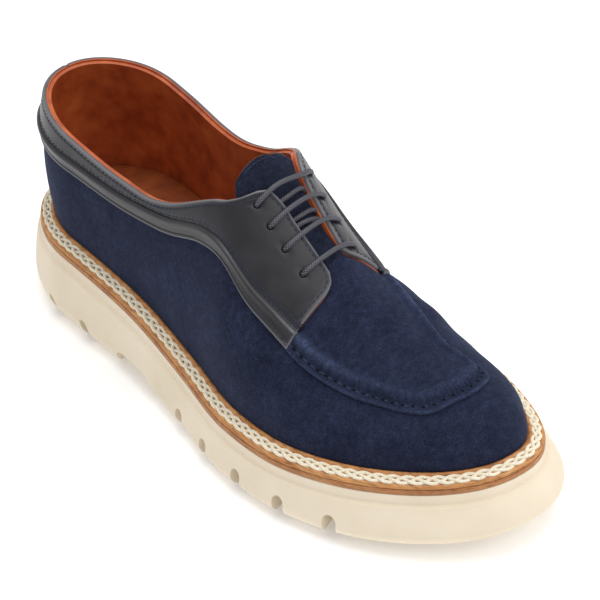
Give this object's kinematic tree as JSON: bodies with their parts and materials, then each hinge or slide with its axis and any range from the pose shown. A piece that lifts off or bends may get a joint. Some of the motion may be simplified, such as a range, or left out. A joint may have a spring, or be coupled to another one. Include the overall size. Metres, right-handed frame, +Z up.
{
  "type": "derby shoe",
  "caption": "Right suede derby shoe with an apron toe, lace facings, braided welt and a thick lugged rubber sole, standing empty.",
  "frame": {"origin": "on the floor, below the middle of the sole's outline", "axes": "+X to the toe, +Y to the inner (medial) side, +Z up"},
  "size_m": [0.3138, 0.1215, 0.1263],
  "materials": {
    "navy_suede": "napped suede",
    "smooth_leather": "smooth waxed calf, soft sheen",
    "tan_leather": "veg-tanned, cut edge",
    "lining_leather": "smooth lining",
    "braid_cord": "twisted cotton cord",
    "waxed_lace": "round waxed cotton",
    "cream_rubber": "matt moulded"
  },
  "bodies": {
    "root": {"outsole": "cream_rubber", "midsole": "tan_leather", "welt": "tan_leather", "welt_braid": "braid_cord", "insole": "lining_leather", "upper": "navy_suede", "apron": "navy_suede", "tongue": "navy_suede", "facing_lateral": "smooth_leather", "facing_medial": "smooth_leather", "strap": "smooth_leather", "lace_bar_1": "waxed_lace", "lace_bar_2": "waxed_lace", "lace_bar_3": "waxed_lace", "lace_bar_4": "waxed_lace"}
  },
  "joints": []
}
